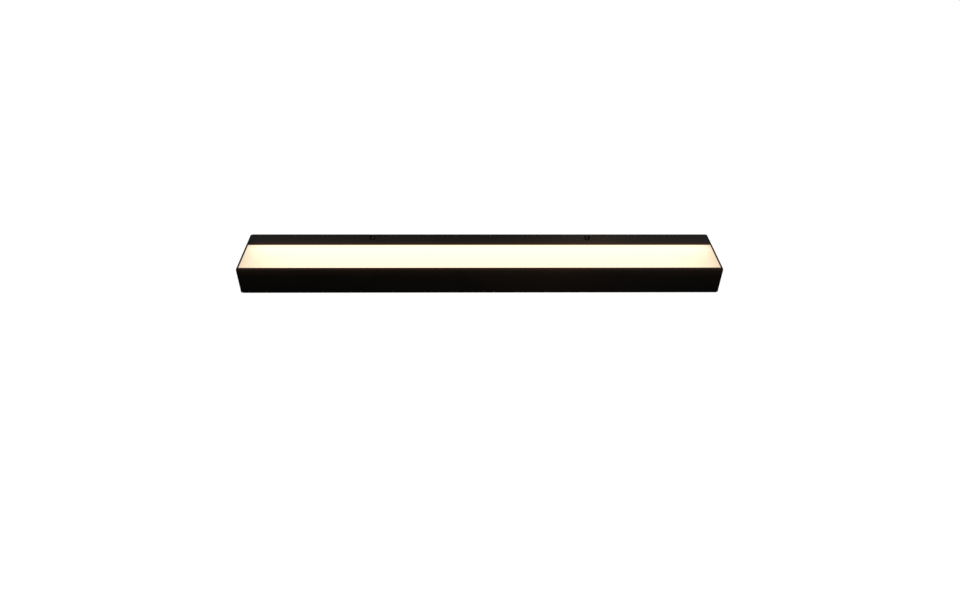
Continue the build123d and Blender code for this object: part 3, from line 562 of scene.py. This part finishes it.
def grid_faces(rows, columns):
    """Quads of a grid that closes round its columns, as an array of corner numbers."""
    row, column = np.meshgrid(np.arange(rows - 1), np.arange(columns), indexing="ij")
    nearer = (column + 1) % columns
    corners = (row * columns + column, row * columns + nearer,
               (row + 1) * columns + nearer, (row + 1) * columns + column)
    return np.stack([c.ravel() for c in corners], axis=1)


def mesh_object(name, parts):
    """One object from several (points, quads) pairs, merged at their poles."""
    points, faces, start = [], [], 0
    for places, quads in parts:
        points.append(places)
        faces.append(quads + start)
        start += len(places)
    mesh = bpy.data.meshes.new(name)
    mesh.from_pydata(np.concatenate(points).tolist(), [], np.concatenate(faces).tolist())
    merged(mesh)
    piece = bpy.data.objects.new(name, mesh)
    bpy.context.scene.collection.objects.link(piece)
    return piece


def merged(mesh):
    """Merge the points that meet, drop the faces that vanish at a pole, and face outwards."""
    shape = bmesh.new()
    shape.from_mesh(mesh)
    bmesh.ops.remove_doubles(shape, verts=shape.verts, dist=1e-6)
    bmesh.ops.recalc_face_normals(shape, faces=shape.faces)
    shape.to_mesh(mesh)
    shape.free()
    mesh.shade_smooth()
    mesh.set_sharp_from_angle(angle=SHARP_ANGLE)


def recess_depth(x, y, reach, depth):
    """Depth of a cross recess at x, y: two crossed slots with sloping walls, whose floor rises
    from the middle to the ends of the arms."""
    along = np.maximum(np.abs(x), np.abs(y))
    across = np.minimum(np.abs(x), np.abs(y))
    width = reach * (0.26 - 0.1 * along / reach)
    wall = np.clip((width - across) / (reach * 0.06), 0.0, 1.0)
    floor = np.clip(1.0 - (along / reach) ** 1.6, 0.0, 1.0)
    return depth * wall * np.clip(floor * 2.4, 0.0, 1.0) * (0.35 + 0.65 * floor)


def screw(origin, axis, head, size, length):
    """One screw. Its surface is a profile turned round the axis: points go from the middle of
    the head out to its rim, under the head, down the shank and in to the tip. The head's
    height falls by the recess's depth, and the shank's radius swings by the thread's depth
    with height less turn, which makes a helix."""
    thread, pitch = size.thread * MM, size.pitch * MM
    reach, deep = (part * MM for part in size.recess)
    radii, heights = (np.array(column) for column in zip(*head))
    steps = np.concatenate([[0.0], np.cumsum(np.hypot(np.diff(radii), np.diff(heights)))])
    sample = np.linspace(0.0, steps[-1], HEAD_STEPS)
    sample = np.unique(np.concatenate([sample, steps]))
    r_head, z_head = np.interp(sample, steps, radii), np.interp(sample, steps, heights)
    rows = max(10, int(length / pitch * ROWS_PER_PITCH))
    z_shank = np.linspace(heights[-1] - 0.05 * MM, -length, rows)
    taper = np.clip((z_shank + length) / pitch, 0.0, 1.0)
    r_shank = thread * (0.72 + 0.28 * taper)
    r = np.concatenate([r_head, r_shank, [0.0]])[:, None]
    z = np.concatenate([z_head, z_shank, [-length]])[:, None]
    turn = np.linspace(0.0, 2 * np.pi, TURN_STEPS, endpoint=False)[None, :]
    on_shank = np.zeros(len(r))
    on_shank[len(r_head) + 1:-1] = taper[1:]
    swing = np.abs(((z / pitch - turn / (2 * np.pi)) % 1.0) * 2 - 1)
    radius = r - on_shank[:, None] * swing * thread * THREAD_DEPTH
    x, y = radius * np.cos(turn), radius * np.sin(turn)
    is_top = (np.arange(len(r)) < np.argmax(r[:, 0]))[:, None]
    height = z - is_top * recess_depth(x, y, reach, deep) + 0 * turn
    places = np.stack([x, y, height], axis=-1).reshape(-1, 3)
    frame_axes = Vector(axis).to_track_quat("Z", "Y").to_matrix()
    places = places @ np.array(frame_axes).T + np.array(origin)
    return places, grid_faces(len(r), TURN_STEPS)


def pan_head(radius, height):
    """Profile of a pan head from its middle to the thread: a flat dome, a short upright rim and
    the flat underside."""
    arc = np.linspace(0.0, np.pi / 2, 14)
    dome = [(radius * 0.99 * math.sin(a), height * 0.28 + height * 0.71 * math.cos(a)) for a in arc]
    return [*dome, (radius, height * 0.2), (radius, 0.04 * radius), (radius * 0.96, 0.0)]


def flat_head(radius, thread):
    """Profile of a countersunk head: a flat top, a narrow land and the cone."""
    return [(0.0, 0.0), (radius * 0.97, 0.0), (radius, -0.03 * radius), (thread, thread - radius)]


def screw_set(name, node, finish, spots, axis, head, size, length):
    """All the screws of one CAD node as one piece."""
    parts = [screw(spot, axis, head, size, length) for spot in spots]
    piece = mesh_object(name, parts)
    piece.data.materials.append(finish)
    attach(piece, "root")
    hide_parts(node)


def lamp_cups(name, node, finish):
    """The lamp chips. Each is one ring profile carried round a rounded square: up the sides,
    over the rim, down into the cup and across its floor."""
    low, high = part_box(node)
    depth = high.y - low.y
    rings = [(1.0, 0.0), (1.0, 0.86), (0.96, 1.0), (0.74, 1.0), (0.66, 0.82), (0.0, 0.82)]
    turn = np.linspace(0.0, 2 * np.pi, CHIP_STEPS, endpoint=False) + np.pi / CHIP_STEPS
    square = 1.0 / np.maximum(np.abs(np.cos(turn)), np.abs(np.sin(turn)))
    square = np.minimum(square, 1.32)
    share = np.array([0.0] + [r[0] for r in rings])[:, None]
    rise = np.array([0.0] + [r[1] for r in rings])[:, None]
    roundness = np.clip((share - 0.66) / 0.3, 0.0, 1.0)
    shape = square * roundness + (1 - roundness)
    x = share * shape * np.cos(turn) * (CHIP_HALF_WIDTH * MM)
    z = share * shape * np.sin(turn) * (CHIP_HALF_HEIGHT * MM)
    y = high.y - rise * depth + 0 * turn
    chip = np.stack([x, y, z], axis=-1).reshape(-1, 3)
    quads = grid_faces(len(share), len(turn))
    middle = (low.z + high.z) / 2
    first, pitch = FIRST_CHIP * MM, CHIP_PITCH * MM
    spots = [side * (first + pitch * n) for side in (-1, 1) for n in range(CHIPS_PER_SIDE)]
    piece = mesh_object(name, [(chip + np.array([spot, 0.0, middle]), quads) for spot in spots])
    piece.data.materials.append(finish)
    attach(piece, "root")
    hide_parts(node)


def paint(material, *nodes):
    """Give CAD nodes a finish."""
    for name in nodes:
        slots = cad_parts[name].data.materials
        slots.clear()
        slots.append(material)


# ---------------------------------------------------------------- operators


class LIGHTBAR_OT_body(bpy.types.Operator):
    """Paint the housing and the end plates"""

    bl_idname = "lightbar.body"
    bl_label = "Body"

    def execute(self, context):
        paint(powder_coat(context.scene.light_bar_body), "housing", "end_plate_left", "end_plate_right")
        seal = soft_rubber("black_rubber", (0.018, 0.018, 0.019))
        paint(seal, "end_gasket_left", "end_gasket_right", "diffuser_seals", "lead_grommet")
        return {"FINISHED"}


class LIGHTBAR_OT_panel(bpy.types.Operator):
    """Light the opal panel"""

    bl_idname = "lightbar.panel"
    bl_label = "Light panel"

    def execute(self, context):
        paint(opal_panel(context.scene.light_bar_lamp), "diffuser")
        return {"FINISHED"}


class LIGHTBAR_OT_engine(bpy.types.Operator):
    """Finish the reflector, the lamp boards and their chips"""

    bl_idname = "lightbar.engine"
    bl_label = "Light engine"

    def execute(self, context):
        paint(white_reflector(), "reflector")
        paint(lamp_board(), "led_board_left", "led_board_right")
        paint(moulded("white_nylon", (0.82, 0.82, 0.79), 0.38), "board_connectors", "terminal_block")
        paint(moulded("thermal_tape", (0.5, 0.53, 0.57), 0.7, 0.5, 0.03), "thermal_tapes")
        lamp_cups("lamp_chips", "led_chips", lamp_chip(context.scene.light_bar_lamp))
        return {"FINISHED"}


class LIGHTBAR_OT_driver(bpy.types.Operator):
    """Finish the driver and what is on its board"""

    bl_idname = "lightbar.driver"
    bl_label = "Driver"

    def execute(self, context):
        paint(moulded("driver_plastic", (0.78, 0.78, 0.76), 0.46, 0.4, 0.03), "driver_case", "driver_lid")
        paint(circuit_board(), "driver_board")
        paint(wound_core(), "driver_transformer")
        paint(can_sleeve(), "driver_capacitors")
        paint(moulded("component_body", (0.035, 0.035, 0.036), 0.5, 0.15, 0.01), "driver_parts")
        return {"FINISHED"}


class LIGHTBAR_OT_wiring(bpy.types.Operator):
    """Finish the leads, the clamps and the earth point"""

    bl_idname = "lightbar.wiring"
    bl_label = "Wiring"

    def execute(self, context):
        paint(lead_insulation("brown_lead", (0.13, 0.05, 0.018)), "live_wire")
        paint(lead_insulation("blue_lead", (0.02, 0.075, 0.38)), "neutral_wire")
        paint(lead_insulation("earth_lead", (0.02, 0.2, 0.03), (0.75, 0.68, 0.02)), "earth_wire")
        paint(lead_insulation("red_lead", (0.5, 0.015, 0.012)), "led_wire_positive")
        paint(lead_insulation("black_lead", (0.016, 0.016, 0.017)), "led_wire_negative")
        paint(brass_clamp(), "terminal_clamps")
        paint(plated_steel("tinned_copper", (0.72, 0.7, 0.66), 0.26, (3.0, 1.0, 1.0)), "earth_ring")
        return {"FINISHED"}


class LIGHTBAR_OT_bracket(bpy.types.Operator):
    """Finish the wall bracket, the rear covers and the bushing"""

    bl_idname = "lightbar.bracket"
    bl_label = "Bracket and covers"

    def execute(self, context):
        zinc = plated_steel("bright_zinc", (0.62, 0.64, 0.66))
        paint(zinc, "wall_bracket", "bracket_nuts", "terminal_screws", "earth_washer")
        paint(mill_aluminium(), "rear_cover_left", "rear_cover_right")
        paint(moulded("bushing_nylon", (0.03, 0.03, 0.031), 0.44, 0.25, 0.015), "cable_bushing")
        return {"FINISHED"}


class LIGHTBAR_OT_screws(bpy.types.Operator):
    """Replace the plain screws with threaded ones that have cross recesses"""

    bl_idname = "lightbar.screws"
    bl_label = "Screws"

    def execute(self, context):
        black = black_zinc()
        bright = plated_steel("screw_zinc", (0.62, 0.64, 0.66), 0.27, (1.0, 1.0, 1.0))

        low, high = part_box("fixing_screws")
        seat = BODY_HIGH.z
        head = STRIP_SCREW.head * MM
        spots = [(x, (low.y + high.y) / 2, seat) for x in (low.x + head, high.x - head)]
        screw_set("strip_screws", "fixing_screws", black, spots, (0, 0, 1),
                  pan_head(head, high.z - seat), STRIP_SCREW, seat - low.z)

        for side, name in ((-1, "end_screws_left"), (1, "end_screws_right")):
            low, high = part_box(name)
            head, thread = END_SCREW.head * MM, END_SCREW.thread * MM
            bottom, top = low.z + head, high.z - head
            front, rear = low.y + head, high.y - head
            spots = [(side * BAR_HALF, y, z) for y, z in ((front, bottom), (rear, bottom), (rear, top))]
            screw_set(f"{name}_threaded", name, black, spots, (side, 0, 0),
                      flat_head(head, thread), END_SCREW, high.x - low.x)

        low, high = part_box("rear_cover_screws")
        head, thread = COVER_SCREW.head * MM, COVER_SCREW.thread * MM
        places = (*(x * MM for x in COVER_SCREW_X), high.x - head)
        spots = [(side * x, high.y, (low.z + high.z) / 2) for side in (-1, 1) for x in places]
        screw_set("cover_screws_threaded", "rear_cover_screws", bright, spots, (0, 1, 0),
                  flat_head(head, thread), COVER_SCREW, high.y - low.y)

        low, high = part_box("board_screws")
        head = BOARD_SCREW.head * MM
        seat = low.y + BOARD_SCREW.height * MM
        spots = [(side * x * MM, seat, (low.z + high.z) / 2) for side in (-1, 1) for x in BOARD_SCREW_X]
        screw_set("board_screws_threaded", "board_screws", bright, spots, (0, -1, 0),
                  pan_head(head, seat - low.y), BOARD_SCREW, high.y - seat)

        low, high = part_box("driver_screws")
        seat = high.y - BOARD_SCREW.height * MM
        spots = [(x, seat, (low.z + high.z) / 2) for x in (low.x + head, high.x - head)]
        screw_set("driver_screws_threaded", "driver_screws", bright, spots, (0, 1, 0),
                  pan_head(head, high.y - seat), BOARD_SCREW, seat - low.y)

        for node, size in (("earth_screw", EARTH_SCREW), ("terminal_fixing_screw", TERMINAL_SCREW)):
            low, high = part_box(node)
            seat = high.y - size.height * MM
            spot = ((low.x + high.x) / 2, seat, (low.z + high.z) / 2)
            screw_set(f"{node}_threaded", node, bright, [spot], (0, 1, 0),
                      pan_head(size.head * MM, high.y - seat), size, seat - low.y)
        return {"FINISHED"}


def soft_box(name, place, target, size, power, colour=(1.0, 1.0, 1.0), lit=()):
    """An area light that the camera doesn't see, aimed at a point. Where lit names pieces, it
    lights only those."""
    lamp = bpy.data.lights.new(name, "AREA")
    lamp.shape = "RECTANGLE"
    lamp.size, lamp.size_y = size
    lamp.energy = power
    lamp.color = colour
    holder = bpy.data.objects.new(name, lamp)
    bpy.context.scene.collection.objects.link(holder)
    away = Vector(place) - Vector(target)
    holder.matrix_world = Matrix.Translation(place) @ away.to_track_quat("Z", "Y").to_matrix().to_4x4()
    holder.visible_camera = False
    if lit:
        group = bpy.data.collections.new(f"{name}_receivers")
        for node in lit:
            group.objects.link(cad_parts.get(node) or bpy.data.objects[node])
        holder.light_linking.receiver_collection = group


class LIGHTBAR_OT_stage(bpy.types.Operator):
    """Set up the floor, the lights and the camera"""

    bl_idname = "lightbar.stage"
    bl_label = "Studio"

    def execute(self, context):
        scene = context.scene
        studio = scene.light_bar_studio
        scene.view_settings.view_transform = "Standard"
        scene.view_settings.look = "None"

        tone = studio.floor_tone
        world = bpy.data.worlds.new("backdrop")
        scene.world = world
        world.use_nodes = True
        world.node_tree.nodes["Background"].inputs["Color"].default_value = (tone, tone, tone, 1.0)
        for ray in ("diffuse", "glossy", "transmission", "scatter"):
            setattr(world.cycles_visibility, ray, False)

        level = BODY_LOW.z - studio.floor_drop
        mesh = bpy.data.meshes.new("floor")
        reach = 30.0
        corners = [(x * reach, y * reach, level) for x, y in ((-1, -1), (1, -1), (1, 1), (-1, 1))]
        mesh.from_pydata(corners, [], [(0, 1, 2, 3)])
        floor = bpy.data.objects.new("floor", mesh)
        scene.collection.objects.link(floor)
        white = Finish("floor_white")
        speckle = white.noise(3.0, 2.0)
        mesh.materials.append(white.surface(
            base_color=(0.5, 0.5, 0.5),
            roughness=0.8 + speckle * 0.1,
            emission_color=(1.0, 1.0, 1.0),
            emission_strength=tone,
        ))
        for ray in ("visible_diffuse", "visible_glossy", "visible_transmission", "visible_shadow"):
            setattr(floor, ray, False)

        body = ("housing", "end_plate_left", "end_plate_right")
        ends = (*body, "end_screws_left_threaded", "end_screws_right_threaded")
        covers = ("rear_cover_left", "rear_cover_right", "cover_screws_threaded")
        rear_side = (*covers, "wall_bracket", "cable_bushing")
        lip = BODY_LOW.y
        top = BODY_HIGH.z
        rear = PANEL_HIGH.y
        for side in (-1, 1):
            soft_box(f"overhead_{side}", (side * 0.72, 0.95, 1.2), (side * 0.2, 0, 0),
                     size=(1.1, 1.2), power=2.1, lit=body)
        soft_box("fill", (0.05, 0.95, 1.25), (0, 0, 0),
                 size=(2.4, 1.2), power=1.0, lit=("diffuser", "diffuser_seals"))
        soft_box("screw_light", (0.0, 0.35, 1.3), (0, 0, 0),
                 size=(0.8, 0.5), power=2.2, lit=("strip_screws",))
        soft_box("front", (0.3, -2.2, 0.5), (0, 0, 0), size=(2.0, 1.4), power=5.0)
        soft_box("back", (0.0, 1.8, -0.8), (0, 0, 0), size=(3.4, 0.8), power=7.0)
        soft_box("back_high", (0.0, 1.8, 0.8), (0, 0, 0), size=(3.4, 0.8), power=6.0, lit=rear_side)
        soft_box("below", (0.0, 0.9, -1.4), (0, 0, 0), size=(2.0, 1.0), power=10.0)
        for side in (-1, 1):
            soft_box(f"side_{side}", (side * 2.0, 0.7, 0.1), (side * BAR_HALF, -0.04, 0),
                     size=(1.0, 0.8), power=14.0, lit=ends)

        # The panel's own light on the metal beside it: a line of light along each edge, and a
        # small sheen on the strip and on the front where it looks strongest.
        warm = (1.0, 0.58, 0.34)
        amber = (1.0, 0.5, 0.14)
        soft_box("front_glow", (0.0, lip - 5 * MM, top + 2 * MM), (0.0, lip, top - 3 * MM),
                 size=(0.61, 0.003), power=0.0105, colour=warm, lit=body)
        soft_box("strip_glow", (0.01, rear - 3 * MM, top + 5 * MM), (0.01, rear + 3 * MM, top),
                 size=(0.6, 0.003), power=0.038, colour=amber, lit=body)
        soft_box("strip_sheen", (0.17, 0.15, 0.14), (0.14, rear + 12 * MM, top),
                 size=(0.08, 0.04), power=0.02, colour=warm, lit=body)
        soft_box("front_sheen", (0.09, lip - 0.15, top + 0.02), (0.09, lip, 0.0),
                 size=(0.08, 0.04), power=0.02, colour=warm, lit=body)

        view = bpy.data.cameras.new("camera")
        view.sensor_width = 36.0
        view.lens = studio.lens
        view.clip_start, view.clip_end = 0.01, 200.0
        camera = bpy.data.objects.new("camera", view)
        scene.collection.objects.link(camera)
        camera.matrix_world = (
            Matrix.Translation(studio.camera_place)
            @ Matrix.Rotation(-studio.camera_yaw, 4, "Z")
            @ Matrix.Rotation(math.pi / 2 - studio.camera_pitch, 4, "X")
            @ Matrix.Rotation(studio.camera_roll, 4, "Z")
        )
        scene.camera = camera
        return {"FINISHED"}


STEPS = (
    LIGHTBAR_OT_body,
    LIGHTBAR_OT_panel,
    LIGHTBAR_OT_engine,
    LIGHTBAR_OT_driver,
    LIGHTBAR_OT_wiring,
    LIGHTBAR_OT_bracket,
    LIGHTBAR_OT_screws,
    LIGHTBAR_OT_stage,
)
SETTINGS = {
    "light_bar_body": BodySettings,
    "light_bar_lamp": LampSettings,
    "light_bar_studio": StudioSettings,
}


class LIGHTBAR_PT_panel(bpy.types.Panel):
    """Lists the steps of the light bar"""

    bl_idname = "LIGHTBAR_PT_panel"
    bl_label = "Light Bar"
    bl_space_type = "VIEW_3D"
    bl_region_type = "UI"
    bl_category = "Light Bar"

    def draw(self, context):
        for name, group in SETTINGS.items():
            box = self.layout.box()
            for key in group.__annotations__:
                box.prop(getattr(context.scene, name), key)
        for step in STEPS:
            self.layout.operator(step.bl_idname)


def register():
    for group in (*SETTINGS.values(), *STEPS, LIGHTBAR_PT_panel):
        bpy.utils.register_class(group)
    for name, group in SETTINGS.items():
        setattr(bpy.types.Scene, name, PointerProperty(type=group))


def unregister():
    for name in SETTINGS:
        delattr(bpy.types.Scene, name)
    for group in reversed((*SETTINGS.values(), *STEPS, LIGHTBAR_PT_panel)):
        bpy.utils.unregister_class(group)


def main():
    register()
    for step in STEPS:
        family, action = step.bl_idname.split(".")
        getattr(getattr(bpy.ops, family), action)()


if __name__ == "__main__":
    main()
